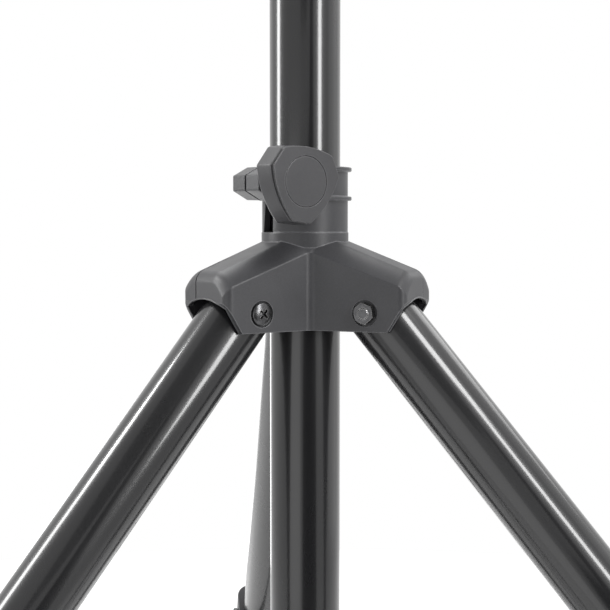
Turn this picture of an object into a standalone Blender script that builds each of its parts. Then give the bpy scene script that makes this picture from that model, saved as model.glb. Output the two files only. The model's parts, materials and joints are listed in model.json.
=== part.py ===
"""Speaker tripod stand: a clamped leg hub on a steel tube, folding legs with twin braces,
a telescoping pole.  Metres, +Z up, standing on z = 0 with the legs spread."""
from math import asin, cos, pi, radians, sin, sqrt, tan

import bmesh
import bpy
from mathutils import Matrix, Vector

MM = 0.001
ROUND = 40                      # facets round the tubes and collars
LEG_ROUND = 32                  # facets round the leg tubes
SMALL = 24                      # round plugs, knob parts and feet
TINY = 14                       # round fasteners and their holes

# ---- driving dimensions -------------------------------------------------------------------
GAP = 0.35 * MM                 # running gap between neighbouring pieces
TUBE_R = 19.05 * MM             # main tube, outside
TUBE_WALL = 1.2 * MM
TUBE_TOP = 1000 * MM
POLE_R = 17.4 * MM              # telescoping pole, outside
POLE_WALL = 1.2 * MM
POLE_BOTTOM = 150 * MM
POLE_TOP = 1160 * MM
LEG_R = 17.75 * MM              # leg tube, outside
LEG_WALL = 1.2 * MM
LEG_ANGLE = radians(40.6)       # legs from the vertical, stand open
LEG_LENGTH = 750 * MM           # hub pivot to floor along a leg
LEG_HEAD = 8 * MM               # leg tube beyond its pivot
PIVOT_R = 43.1 * MM             # hub and lower collar pivots from the tube axis
LINK = 320 * MM                 # hub pivot to brace bolt, and brace bolt to collar pivot
LEG_AZIMUTHS = (radians(-150), radians(-30), radians(90))

# leg housing, heights from the leg pivots
ARM_HALF = 21.4 * MM            # half width over the side walls
ARM_END = 65.0 * MM             # flat end face from the tube axis
ARM_START = 5 * MM              # arms start inside the central cylinder
UNDERCUT = 4 * MM               # extra depth that one flat cut takes off the underside
ARM_WALL = 2.8 * MM
ARM_BOTTOM = -9.8 * MM
ARM_CREASE = 8.5 * MM           # half width of the flat strip on top of an arm
ARM_TOP = (22.6 * MM, 36.8 * MM, -0.381)     # radius, height there, slope of the top line
ARM_EDGE = (12.35 * MM, 31.7 * MM, -0.3545)  # the same for the side walls' top edge
ARM_NOSE = 4.6 * MM             # rounding between the end face and the top and sides
SHOULDER_BULGE = 1.3 * MM
MOUTH_TOP = 7.8 * MM
MOUTH_R = 40.0 * MM
MOUTH_SIDE = 6.0 * MM           # height where the side walls' end edge starts to slant
SLANT_FOOT = 55.2 * MM          # radius where that slant reaches the bottom edge
BORE_R = TUBE_R + 0.4 * MM
BOSS_R = 22.3 * MM
RING_R = 23.55 * MM
RING_TOP = 41.9 * MM
COLLAR_R = 23.2 * MM
COLLAR_TOP = 76.6 * MM
RIB_R = 25.2 * MM
RIB_HEIGHT = 2.2 * MM

# clamp: ears, bolt and knob, heights from the middle of the bolt
CLAMP_HEIGHT = 67.7 * MM        # above the leg pivots
CLAMP_R = 28.8 * MM             # bolt from the tube axis
CLAMP_AZIMUTH = LEG_AZIMUTHS[0]
EAR_HALF = 8.75 * MM
RIB_HALF = 8.9 * MM             # the two ribs lie just outside the ears' height
EAR_TIP_HALF = 4.05 * MM
EAR_SHOULDER_R = 29.8 * MM
EAR_TIP_R = 38.8 * MM
EAR_GAP = 0.8 * MM              # half the slit between the ears
EAR_OUT = 12.2 * MM             # outer faces of the ears from the slit's middle
WINDOW = (2.7 * MM, -4.9 * MM, -7.6 * MM)    # slit under the ears: near side, far top, far bottom
CLAMP_BOLT_R = 3.8 * MM
KNOB_NECK_R = 8.8 * MM
KNOB_BACK = 24.9 * MM
KNOB_FACE = 40.2 * MM
KNOB_R = 21.7 * MM
KNOB_CORNER = radians(15)       # half angle of a lobe's flat tip
KNOB_BULGE = 2.5 * MM
KNOB_ROLL = radians(23)         # turn of the lobes from the tube's side towards the top
KNOB_CAP_R = 12.8 * MM

# upper collar, heights from the main tube's top
UPPER_LOW = -36 * MM
UPPER_STEP = -6 * MM
UPPER_RING_R = 24.6 * MM
UPPER_TOP = 34 * MM

# fasteners
PIVOT_BOLT_R = 3.0 * MM
BRACE_BOLT_R = 2.9 * MM
PIN_R = 2.4 * MM
HEAD_HEIGHT = 3.0 * MM
SEAT_R = 6.9 * MM               # round recess for a pivot screw's head and for its nut
SEAT_DEPTH = 1.4 * MM

# braces and lower collar
BAR_IN = ARM_HALF + 0.4 * MM
BAR_THICK = 3 * MM
BAR_HALF = 8 * MM
SLOT_HALF = 18.4 * MM           # the folded leg lies between the lower collar's walls
LOWER_R = 24.0 * MM
LOWER_END = 53.0 * MM
LOWER_HALF = 10 * MM
LOWER_SLEEVE = 20 * MM

# feet
FOOT_R = 21.5 * MM
FOOT_LENGTH = 52 * MM
FOOT_FLOOR = 6 * MM             # rubber under the lowest point of the leg tube

# ---- derived dimensions -------------------------------------------------------------------
PIVOT_Z = LEG_LENGTH * cos(LEG_ANGLE)
COLLAR_Z = PIVOT_Z - 2 * LINK * cos(LEG_ANGLE)
TUBE_BOTTOM = COLLAR_Z - 25 * MM
FOOT_CENTRE = PIVOT_R + PIVOT_Z * tan(LEG_ANGLE)
SOLE_HALF = FOOT_R / cos(LEG_ANGLE)
REACH_BACK = FOOT_CENTRE + SOLE_HALF
REACH_FRONT = FOOT_CENTRE / 2 + sqrt((SOLE_HALF / 2) ** 2 + 0.75 * FOOT_R ** 2)
AXIS_Y = (REACH_FRONT - REACH_BACK) / 2      # puts the origin in the middle of the footprint
AXIS = Matrix.Translation((0, AXIS_Y, 0))
LEG_END = (PIVOT_Z - FOOT_FLOOR - LEG_R * sin(LEG_ANGLE)) / cos(LEG_ANGLE)


# These two meet themselves in many symmetric near-coplanar faces, where EXACT leaves gaps.
MANIFOLD_BODIES = ("leg_housing", "upper_collar")


# ---- modelling helpers --------------------------------------------------------------------
def clear_scene():
    for obj in list(bpy.data.objects):
        bpy.data.objects.remove(obj, do_unlink=True)


def material(name, color, roughness, metallic=0.0):
    mat = bpy.data.materials.new(name)
    mat.use_nodes = True
    shader = mat.node_tree.nodes["Principled BSDF"]
    shader.inputs["Base Color"].default_value = (*color, 1)
    shader.inputs["Roughness"].default_value = roughness
    shader.inputs["Metallic"].default_value = metallic
    mat.diffuse_color = (*color, 1)
    return mat


def make(name, bm, mat=None, matrix=Matrix(), pivot=None):
    """Object from a bmesh built in local axes and placed by matrix; pivot is its parent."""
    mesh = bpy.data.meshes.new(name)
    bm.to_mesh(mesh)
    bm.free()
    mesh.shade_smooth()
    mesh.set_sharp_from_angle(angle=radians(28))
    obj = bpy.data.objects.new(name, mesh)
    bpy.context.scene.collection.objects.link(obj)
    if mat:
        mesh.materials.append(mat)
    obj.matrix_basis = matrix
    if pivot:
        obj.parent = pivot
        obj.matrix_parent_inverse = Matrix.Translation(pivot.location).inverted()
    return obj


def empty(name, location):
    obj = bpy.data.objects.new(name, None)
    obj.empty_display_size = 0.02
    obj.location = location
    bpy.context.scene.collection.objects.link(obj)
    return obj


def shape(target, operation, bm, matrix=Matrix()):
    """Adds (UNION) or cuts (DIFFERENCE) a hidden guide solid, in world axes."""
    guide = make(f"{target.name}.guide", bm, matrix=matrix)
    guide.hide_render = True
    guide.display_type = "WIRE"
    boolean = target.modifiers.new(operation.lower(), "BOOLEAN")
    boolean.operation = operation
    boolean.solver = "MANIFOLD" if target.name in MANIFOLD_BODIES else "EXACT"
    boolean.object = guide
    return guide


def turned(profile, segments=ROUND):
    """Solid turned about Z from a closed loop of (radius, height); radius 0 is on the axis."""
    bm = bmesh.new()
    angles = [2 * pi * i / segments for i in range(segments)]
    rings = []
    for radius, height in profile:
        if radius == 0:
            rings.append([bm.verts.new((0, 0, height))])
        else:
            rings.append([bm.verts.new((radius * cos(a), radius * sin(a), height)) for a in angles])
    for ring, following in zip(rings, rings[1:] + rings[:1]):
        if len(ring) == len(following) == 1:
            continue
        for i in range(segments):
            j = (i + 1) % segments
            corners = (ring[i % len(ring)], ring[j % len(ring)],
                       following[j % len(following)], following[i % len(following)])
            bm.faces.new(dict.fromkeys(corners))
    bmesh.ops.recalc_face_normals(bm, faces=bm.faces)
    return bm


def rod(radius, low, high, segments=TINY):
    return turned([(0, low), (radius, low), (radius, high), (0, high)], segments)


def pipe(outer, inner, low, high, segments=ROUND):
    return turned([(outer, low), (outer, high), (inner, high), (inner, low)], segments)


def loft(sections):
    """Solid through equal-length rings of points, with flat end caps."""
    bm = bmesh.new()
    rings = [[bm.verts.new(point) for point in section] for section in sections]
    for ring, following in zip(rings, rings[1:]):
        for i in range(len(ring)):
            j = (i + 1) % len(ring)
            bm.faces.new((ring[i], ring[j], following[j], following[i]))
    bmesh.ops.triangulate(bm, faces=bm.faces)
    bm.faces.new(rings[0])
    bm.faces.new(rings[-1])
    bmesh.ops.recalc_face_normals(bm, faces=bm.faces)
    return bm


def prism(outline, low, high):
    """Outline in local X and Y, extruded from low to high along Z."""
    return loft([[(x, y, z) for x, y in outline] for z in (low, high)])


def polygon(radius, count, turn=0.0):
    return [(radius * cos(turn + 2 * pi * i / count), radius * sin(turn + 2 * pi * i / count))
            for i in range(count)]


def arc(centre, radius, start, end, count):
    return [(centre[0] + radius * cos(start + (end - start) * i / count),
             centre[1] + radius * sin(start + (end - start) * i / count))
            for i in range(count + 1)]


def box(low, high):
    return prism([(low[0], low[1]), (high[0], low[1]), (high[0], high[1]), (low[0], high[1])],
                 low[2], high[2])


# ---- local frames -------------------------------------------------------------------------
def columns(x, y, z, origin):
    """Matrix whose local X, Y and Z run along the given world vectors."""
    return Matrix.Translation(origin) @ Matrix((x, y, z)).transposed().to_4x4()


def radial(azimuth):
    return Vector((cos(azimuth), sin(azimuth), 0))


def tangent(azimuth):
    return Vector((-sin(azimuth), cos(azimuth), 0))


UP = Vector((0, 0, 1))


def arm_frame(azimuth, height):
    """X outwards, Y tangential, Z up, on the tube axis."""
    return columns(radial(azimuth), tangent(azimuth), UP, Vector((0, AXIS_Y, height)))


def side_frame(azimuth, radius, height):
    """X outwards, Y up, Z along the reverse tangent, centred on a pivot."""
    origin = Vector((0, AXIS_Y, height)) + radial(azimuth) * radius
    return columns(radial(azimuth), UP, -tangent(azimuth), origin)


def leg_frame(azimuth):
    """Z down the leg from its pivot, Y tangential, X outwards and up."""
    down = radial(azimuth) * sin(LEG_ANGLE) - UP * cos(LEG_ANGLE)
    out = radial(azimuth) * cos(LEG_ANGLE) + UP * sin(LEG_ANGLE)
    origin = Vector((0, AXIS_Y, PIVOT_Z)) + radial(azimuth) * PIVOT_R
    return columns(out, -tangent(azimuth), down, origin)


def across(distance):
    """From a leg frame: Z along the tangent, at a distance down the leg."""
    return Matrix.Translation((0, 0, distance)) @ Matrix.Rotation(radians(90), 4, "X")


# ---- fasteners ----------------------------------------------------------------------------
def bolt(shank_r, head_r, head_height, low, high):
    """Bolt along Z: shank from low to high, domed head on top of high."""
    return turned([(0, low), (shank_r, low), (shank_r, high), (head_r, high),
                   (head_r, high + 0.45 * head_height), (0.6 * head_r, high + head_height),
                   (0, high + head_height)], TINY)


def cross_recess(top):
    half, width, depth = 2.9 * MM, 0.75 * MM, 2.0 * MM
    plus = [(width, width), (width, half), (-width, half), (-width, width), (-half, width),
            (-half, -width), (-width, -width), (-width, -half), (width, -half), (width, -width),
            (half, -width), (half, width)]
    return prism(plus, top - depth, top + 1 * MM)


def nut(name, flats, bore, low, high, mat, matrix, pivot):
    hexagon = make(name, prism(polygon(flats / sqrt(3), 6), low, high), mat, matrix, pivot)
    shape(hexagon, "DIFFERENCE", rod(bore, low - MM, high + MM), matrix)
    return hexagon


# ---- leg housing --------------------------------------------------------------------------
def on_line(line, radius):
    start, height, slope = line
    return height + slope * (radius - start)


def arm_section(radius, inset=0.0, drop=0.0):
    """Arm section at a radius: side walls, bulged shoulders and a flat top strip."""
    half = ARM_HALF - inset - drop
    edge = on_line(ARM_EDGE, radius) - inset - drop
    crest = on_line(ARM_TOP, radius) - inset - drop
    floor = ARM_BOTTOM - UNDERCUT - inset
    shoulder = []
    steps = 3
    for i in range(steps + 1):
        t = i / steps
        y = half + (ARM_CREASE - half) * t
        z = edge + (crest - edge) * t + SHOULDER_BULGE * 4 * t * (1 - t)
        shoulder.append((y, z))
    right = [(half, floor)] + shoulder
    outline = right + [(-y, z) for y, z in reversed(right)]
    return [(radius, y, z) for y, z in outline]


def arm_solid():
    steps = 3
    sections = [arm_section(ARM_START), arm_section(30 * MM)]
    for i in range(steps + 1):
        angle = radians(90) * i / steps
        radius = ARM_END - ARM_NOSE * (1 - sin(angle))
        sections.append(arm_section(radius, drop=ARM_NOSE * (1 - cos(angle))))
    return loft(sections)


def arm_cavity():
    far = ARM_END - ARM_WALL
    nose = 3 * MM
    return loft([arm_section(0, ARM_WALL), arm_section(far - nose, ARM_WALL),
                 arm_section(far, ARM_WALL, nose)])


def mouth_cutter():
    """Arched opening through the end wall, in local Y and Z, extruded outwards."""
    half = ARM_HALF - ARM_WALL - 0.1 * MM
    spread = asin(half / MOUTH_R)
    arch = arc((0, MOUTH_TOP - MOUTH_R), MOUTH_R, pi / 2 - spread, pi / 2 + spread, 6)
    outline = [(half, -20 * MM)] + arch + [(-half, -20 * MM)]
    return loft([[(x, y, z) for y, z in outline] for x in (50 * MM, 80 * MM)])


def slant_cutter():
    """Wedge that slants the ends of both side walls, in local X and Z, extruded along Y."""
    run = (ARM_END - SLANT_FOOT) / (MOUTH_SIDE - ARM_BOTTOM)
    low = ARM_BOTTOM - 5 * MM
    outline = [(ARM_END, MOUTH_SIDE), (80 * MM, MOUTH_SIDE), (80 * MM, low),
               (SLANT_FOOT - run * 5 * MM, low)]
    return loft([[(x, y, z) for x, z in outline] for y in (-30 * MM, 30 * MM)])


def add_ears(body, height):
    """Both clamp ears as one half-hexagonal block, before the bore and the slit part them."""
    root = 16 * MM
    outline = [(root, -EAR_HALF), (EAR_SHOULDER_R, -EAR_HALF), (EAR_TIP_R, -EAR_TIP_HALF),
               (EAR_TIP_R, EAR_TIP_HALF), (EAR_SHOULDER_R, EAR_HALF), (root, EAR_HALF)]
    block = loft([[(x, y, z) for x, z in outline] for y in (-EAR_OUT, EAR_OUT)])
    shape(body, "UNION", block, arm_frame(CLAMP_AZIMUTH, height))


def split_clamp(body, height, floor):
    """Slit between the ears, its wider window down to floor, and the bolt hole."""
    frame = arm_frame(CLAMP_AZIMUTH, height)
    under = -RIB_HALF - 0.5 * MM
    slit = box((12 * MM, -EAR_GAP, under - MM), (45 * MM, EAR_GAP, 20 * MM))
    shape(body, "DIFFERENCE", slit, frame)
    near, far_top, far_low = WINDOW
    outline = [(near, floor), (near, under), (far_top, under), (far_low, floor)]
    window = loft([[(x, y, z) for y, z in outline] for x in (13 * MM, 30 * MM)])
    shape(body, "DIFFERENCE", window, frame)
    hole = rod(CLAMP_BOLT_R + GAP, -20 * MM, 20 * MM)
    shape(body, "DIFFERENCE", hole, side_frame(CLAMP_AZIMUTH, CLAMP_R, height))


def collar_profile(low, step, top, ring_r=RING_R):
    """Outer profile of a clamp collar with a base ring and two thin ribs."""
    rib = top - 2 * RIB_HALF
    return [(0, low), (ring_r, low), (ring_r, step), (COLLAR_R, step),
            (COLLAR_R, rib), (RIB_R, rib), (RIB_R, rib + RIB_HEIGHT), (COLLAR_R, rib + RIB_HEIGHT),
            (COLLAR_R, top - RIB_HEIGHT), (RIB_R, top - RIB_HEIGHT), (RIB_R, top), (0, top)]


def leg_housing(mat, pivot):
    base = Matrix.Translation((0, AXIS_Y, PIVOT_Z))
    profile = collar_profile(ARM_BOTTOM - UNDERCUT / 2, RING_TOP, COLLAR_TOP)
    body = make("leg_housing", turned(profile), mat, base, pivot)
    for azimuth in LEG_AZIMUTHS:
        shape(body, "UNION", arm_solid(), arm_frame(azimuth, PIVOT_Z))
    add_ears(body, PIVOT_Z + CLAMP_HEIGHT)
    for azimuth in LEG_AZIMUTHS:
        frame = arm_frame(azimuth, PIVOT_Z)
        cavity = shape(body, "DIFFERENCE", arm_cavity(), frame)
        shape(cavity, "DIFFERENCE", rod(BOSS_R, -40 * MM, 60 * MM, ROUND), base)
        shape(body, "DIFFERENCE", mouth_cutter(), frame)
        shape(body, "DIFFERENCE", slant_cutter(), frame)
        hole = rod(PIVOT_BOLT_R + GAP, -30 * MM, 30 * MM)
        cross = side_frame(azimuth, PIVOT_R, PIVOT_Z)
        shape(body, "DIFFERENCE", hole, cross)
        seat = ARM_HALF - SEAT_DEPTH
        shape(body, "DIFFERENCE", rod(SEAT_R, seat, seat + 5 * MM, SMALL), cross)
        shape(body, "DIFFERENCE", rod(SEAT_R, -seat - 5 * MM, -seat, SMALL), cross)
    shape(body, "DIFFERENCE", rod(BORE_R, -40 * MM, 90 * MM, ROUND), base)
    shape(body, "DIFFERENCE", box((-0.1, -0.1, -0.1), (0.1, 0.1, ARM_BOTTOM)), base)
    split_clamp(body, PIVOT_Z + CLAMP_HEIGHT, RING_TOP - CLAMP_HEIGHT)


# ---- clamp knob ---------------------------------------------------------------------------
def knob_outline(scale):
    """Three-lobed outline: flat lobe tips joined by slightly convex sides."""
    points = []
    steps = 4
    for lobe in range(3):
        middle = KNOB_ROLL + lobe * radians(120)
        start, end = middle + KNOB_CORNER, middle + radians(120) - KNOB_CORNER
        first = Vector((cos(start), sin(start))) * KNOB_R
        last = Vector((cos(end), sin(end))) * KNOB_R
        outward = Vector((cos(middle + radians(60)), sin(middle + radians(60))))
        for i in range(steps + 1):
            t = i / steps
            point = first.lerp(last, t) + outward * KNOB_BULGE * 4 * t * (1 - t)
            points.append(tuple(point * scale))
    return points


def clamp_hardware(prefix, height, bolt_pivot, knob_pivot, mats):
    """Bolt in the ears, and a knob with its nut and cap; Z runs out of the knob's face."""
    frame = side_frame(CLAMP_AZIMUTH, CLAMP_R, height) @ Matrix.Rotation(pi, 4, "Y")
    neck_end = EAR_OUT + GAP
    make(f"{prefix}_clamp_bolt", bolt(CLAMP_BOLT_R, 7 * MM, 3.6 * MM, -33 * MM, EAR_OUT + GAP),
         mats["steel"], frame @ Matrix.Rotation(pi, 4, "Y"), bolt_pivot)
    levels = ((KNOB_BACK, 1.0), (KNOB_BACK + 1.5 * MM, 1.04), (KNOB_FACE - 2 * MM, 1.02),
              (KNOB_FACE, 0.975))
    knob = make(f"{prefix}_knob",
                loft([[(x, y, z) for x, y in knob_outline(scale)] for z, scale in levels]),
                mats["knob"], frame, knob_pivot)
    shape(knob, "UNION", rod(KNOB_NECK_R, neck_end, KNOB_BACK + 2 * MM, SMALL), frame)
    bore = CLAMP_BOLT_R + GAP
    shape(knob, "DIFFERENCE", rod(bore, 0, KNOB_FACE - MM), frame)
    nut_flats = 12.0 * MM
    nut_high = neck_end + 6.5 * MM
    pocket = prism(polygon((nut_flats + 2 * GAP) / sqrt(3), 6), 0, nut_high)
    shape(knob, "DIFFERENCE", pocket, frame)
    cap_low = KNOB_FACE - 2 * MM
    shape(knob, "DIFFERENCE", rod(KNOB_CAP_R + GAP, cap_low, KNOB_FACE + MM, SMALL), frame)
    nut(f"{prefix}_knob_nut", nut_flats, bore, neck_end, nut_high - GAP, mats["steel"], frame,
        knob_pivot)
    make(f"{prefix}_knob_cap",
         turned([(0, cap_low + GAP), (KNOB_CAP_R, cap_low + GAP), (KNOB_CAP_R, KNOB_FACE - 0.3 * MM),
                 (KNOB_CAP_R - 0.4 * MM, KNOB_FACE), (0, KNOB_FACE)], SMALL),
         mats["knob"], frame, knob_pivot)


# ---- main tube and pole -------------------------------------------------------------------
def main_column(mats, pivot):
    tube = make("main_tube", pipe(TUBE_R, TUBE_R - TUBE_WALL, TUBE_BOTTOM, TUBE_TOP),
                mats["tube"], AXIS, pivot)
    screw = columns(UP, -radial(0), -tangent(0),
                    Vector((0, AXIS_Y, COLLAR_Z + 0.5 * (LOWER_HALF + LOWER_SLEEVE))))
    shape(tube, "DIFFERENCE", rod(2.0 * MM + GAP, 10 * MM, 30 * MM), screw)
    inner = TUBE_R - TUBE_WALL - GAP
    profile = [(0, TUBE_BOTTOM - 4 * MM), (TUBE_R - MM, TUBE_BOTTOM - 4 * MM),
               (TUBE_R, TUBE_BOTTOM - 3 * MM), (TUBE_R, TUBE_BOTTOM - GAP),
               (inner, TUBE_BOTTOM - GAP), (inner, TUBE_BOTTOM + 16 * MM),
               (inner - 3 * MM, TUBE_BOTTOM + 16 * MM), (inner - 3 * MM, TUBE_BOTTOM),
               (0, TUBE_BOTTOM)]
    make("main_tube_plug", turned(profile, SMALL), mats["bush"], AXIS, pivot)
    lower_collar(mats, pivot, screw)


def lower_collar(mats, pivot, screw):
    """Collar fixed to the tube's lower end; each pair of walls straddles a folded leg."""
    base = Matrix.Translation((0, AXIS_Y, COLLAR_Z))
    profile = [(0, -LOWER_HALF - MM), (LOWER_R, -LOWER_HALF - MM), (LOWER_R, LOWER_SLEEVE - MM),
               (LOWER_R - MM, LOWER_SLEEVE), (0, LOWER_SLEEVE)]
    body = make("lower_collar", turned(profile), mats["housing"], base, pivot)
    round_r = 8 * MM
    tip = arc((LOWER_END - round_r, -LOWER_HALF + round_r), round_r, -pi / 2, 0, 4)
    tip += [(x, -z) for x, z in reversed(tip)]
    outline = [(ARM_START, -LOWER_HALF)] + tip + [(ARM_START, LOWER_HALF)]
    for azimuth in LEG_AZIMUTHS:
        frame = arm_frame(azimuth, COLLAR_Z)
        block = loft([[(x, y, z) for x, z in outline] for y in (-ARM_HALF, ARM_HALF)])
        shape(body, "UNION", block, frame)
    for azimuth in LEG_AZIMUTHS:
        frame = arm_frame(azimuth, COLLAR_Z)
        slot = shape(body, "DIFFERENCE",
                     box((ARM_START, -SLOT_HALF, -30 * MM), (70 * MM, SLOT_HALF, 15 * MM)), frame)
        shape(slot, "DIFFERENCE", rod(LOWER_R - 0.1 * MM, -40 * MM, 30 * MM, ROUND), base)
        hole = rod(PIN_R + GAP, -30 * MM, 30 * MM)
        shape(body, "DIFFERENCE", hole, side_frame(azimuth, PIVOT_R, COLLAR_Z))
    shape(body, "DIFFERENCE", rod(BORE_R, -40 * MM, 40 * MM, ROUND), base)
    shape(body, "DIFFERENCE", rod(2.0 * MM + GAP, 10 * MM, 30 * MM), screw)
    screw_piece = make("lower_collar_screw", bolt(2.0 * MM, 4 * MM, 2.4 * MM, 17 * MM, LOWER_R + GAP),
                       mats["steel"], screw, pivot)
    shape(screw_piece, "DIFFERENCE", cross_recess(LOWER_R + GAP + 2.4 * MM), screw)


def upper_clamp(mats, pivot, knob_pivot):
    """Collar on the main tube's top, split above it, with a bush that guides the pole."""
    base = Matrix.Translation((0, AXIS_Y, TUBE_TOP))
    profile = collar_profile(UPPER_LOW, UPPER_STEP, UPPER_TOP, UPPER_RING_R)
    body = make("upper_collar", turned(profile), mats["housing"], base, pivot)
    bolt_z = UPPER_TOP - RIB_HALF
    add_ears(body, TUBE_TOP + bolt_z)
    shape(body, "DIFFERENCE", rod(BORE_R, UPPER_LOW - MM, UPPER_TOP + MM, ROUND), base)
    split_clamp(body, TUBE_TOP + bolt_z, MM - bolt_z)
    inner, outer, flange = POLE_R + GAP + 0.05 * MM, BORE_R - GAP, 22.4 * MM
    lip = UPPER_TOP + 3.2 * MM
    make("pole_bush",
         turned([(outer, GAP), (outer, UPPER_TOP + GAP), (flange, UPPER_TOP + GAP),
                 (flange, lip - MM), (flange - MM, lip), (inner, lip), (inner, GAP)], ROUND),
         mats["bush"], base, pivot)
    clamp_hardware("upper", TUBE_TOP + bolt_z, pivot, knob_pivot, mats)


def pole(mats, pivot):
    inner = POLE_R - POLE_WALL
    make("pole", pipe(POLE_R, inner, POLE_BOTTOM, POLE_TOP), mats["tube"], AXIS, pivot)
    stem = inner - GAP
    for name, end, sign in (("pole_end_plug", POLE_BOTTOM, -1), ("pole_top_cap", POLE_TOP, 1)):
        flange = [(0, end + sign * 5 * MM), (POLE_R - MM, end + sign * 5 * MM),
                  (POLE_R, end + sign * 4 * MM), (POLE_R, end + sign * GAP)]
        body = [(stem, end + sign * GAP), (stem, end - sign * 20 * MM),
                (stem - 3 * MM, end - sign * 20 * MM), (stem - 3 * MM, end), (0, end)]
        make(name, turned(flange + body, SMALL), mats["bush"], AXIS, pivot)


# ---- legs and braces ----------------------------------------------------------------------
def foot_profile():
    """Rubber foot along the leg: a sleeve with grip grooves over the tube's end."""
    top = LEG_LENGTH - FOOT_LENGTH
    pocket = LEG_R + GAP + 0.1 * MM
    sleeve = FOOT_R - 0.6 * MM
    profile = [(pocket, top), (sleeve - MM, top), (sleeve, top + MM)]
    for groove in range(2):
        at = top + (9 + 5 * groove) * MM
        profile += [(sleeve, at), (sleeve - 1.2 * MM, at + 0.8 * MM), (sleeve, at + 1.6 * MM)]
    profile += [(FOOT_R, LEG_LENGTH - 22 * MM), (FOOT_R, LEG_LENGTH + 30 * MM),
                (0, LEG_LENGTH + 30 * MM), (0, LEG_END + GAP), (pocket, LEG_END + GAP)]
    return profile


def bracket_outline():
    """Rounded square round the leg tube, with flats where the braces bear."""
    half, corner = ARM_HALF, 9 * MM
    points = []
    for quarter in range(4):
        turn = quarter * pi / 2
        x, y = half - corner, half - corner
        centre = (x * cos(turn) - y * sin(turn), x * sin(turn) + y * cos(turn))
        points += arc(centre, corner, turn, turn + pi / 2, 3)
    return points


def leg(index, azimuth, mats, hub_pivot, leg_pivot):
    frame = leg_frame(azimuth)
    brace_cross = frame @ across(LINK)
    pivot_cross = frame @ across(0)
    tube = make(f"leg_tube_{index}", pipe(LEG_R, LEG_R - LEG_WALL, -LEG_HEAD, LEG_END, LEG_ROUND),
                mats["tube"], frame, leg_pivot)
    shape(tube, "DIFFERENCE", rod(PIVOT_BOLT_R + GAP, -30 * MM, 30 * MM), pivot_cross)
    shape(tube, "DIFFERENCE", rod(BRACE_BOLT_R + GAP, -30 * MM, 30 * MM), brace_cross)
    stem = LEG_R - LEG_WALL - GAP
    plug = make(f"leg_top_plug_{index}",
                turned([(0, -LEG_HEAD - 2.2 * MM), (LEG_R - MM, -LEG_HEAD - 2.2 * MM),
                        (LEG_R, -LEG_HEAD - 1.4 * MM), (LEG_R, -LEG_HEAD - GAP),
                        (stem, -LEG_HEAD - GAP), (stem, 14 * MM), (0, 14 * MM)], SMALL),
                mats["bush"], frame, leg_pivot)
    shape(plug, "DIFFERENCE", rod(PIVOT_BOLT_R + GAP, -30 * MM, 30 * MM), pivot_cross)
    foot = make(f"foot_{index}", turned(foot_profile(), SMALL), mats["rubber"], frame, leg_pivot)
    shape(foot, "DIFFERENCE", box((-2, -2, -0.2), (2, 2, 0)))
    bracket = make(f"brace_bracket_{index}", prism(bracket_outline(), LINK - 12 * MM, LINK + 12 * MM),
                   mats["housing"], frame, leg_pivot)
    shape(bracket, "DIFFERENCE", rod(LEG_R + GAP, LINK - 20 * MM, LINK + 20 * MM, LEG_ROUND), frame)
    shape(bracket, "DIFFERENCE", rod(BRACE_BOLT_R + GAP, -30 * MM, 30 * MM), brace_cross)
    # the screw heads and nuts of one leg share its tangent: heads one side, nuts the other
    wall = ARM_HALF - SEAT_DEPTH + GAP
    screw = make(f"leg_pivot_bolt_{index}",
                 bolt(PIVOT_BOLT_R, 6 * MM, HEAD_HEIGHT, -wall - 4.5 * MM, wall),
                 mats["steel"], pivot_cross, hub_pivot)
    shape(screw, "DIFFERENCE", cross_recess(wall + HEAD_HEIGHT), pivot_cross)
    nut(f"leg_pivot_nut_{index}", 10 * MM, PIVOT_BOLT_R + GAP, -wall - 4 * MM, -wall,
        mats["steel"], pivot_cross, hub_pivot)
    outer = BAR_IN + BAR_THICK + GAP
    make(f"brace_bolt_{index}", bolt(BRACE_BOLT_R, 5.6 * MM, HEAD_HEIGHT, -outer - 6.2 * MM, outer),
         mats["steel"], brace_cross, leg_pivot)
    nut(f"brace_nut_{index}", 10 * MM, BRACE_BOLT_R + GAP, -outer - 5 * MM, -outer,
        mats["steel"], brace_cross, leg_pivot)


def brace(index, azimuth, mats, pivot):
    """Two flat bars from the lower collar to the leg, one on each side of it."""
    frame = side_frame(azimuth, PIVOT_R, COLLAR_Z) @ Matrix.Rotation(-LEG_ANGLE, 4, "Z")
    ends = arc((0, 0), BAR_HALF, pi, 2 * pi, 6) + arc((0, LINK), BAR_HALF, 0, pi, 6)
    for letter, side in (("a", 1), ("b", -1)):
        low, high = sorted((side * BAR_IN, side * (BAR_IN + BAR_THICK)))
        bar = make(f"brace_{letter}_{index}", prism(ends, low, high), mats["tube"], frame, pivot)
        pin_hole = rod(PIN_R + GAP, -30 * MM, 30 * MM)
        shape(bar, "DIFFERENCE", pin_hole, frame)
        bolt_hole = rod(BRACE_BOLT_R + GAP, -30 * MM, 30 * MM)
        shape(bar, "DIFFERENCE", bolt_hole, frame @ Matrix.Translation((0, LINK, 0)))
        pin = frame @ Matrix.Rotation(0 if side > 0 else pi, 4, "X")
        make(f"brace_pin_{letter}_{index}",
             bolt(PIN_R, 5 * MM, 2.4 * MM, SLOT_HALF + 0.2 * MM, BAR_IN + BAR_THICK + GAP),
             mats["steel"], pin, pivot)


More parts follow.
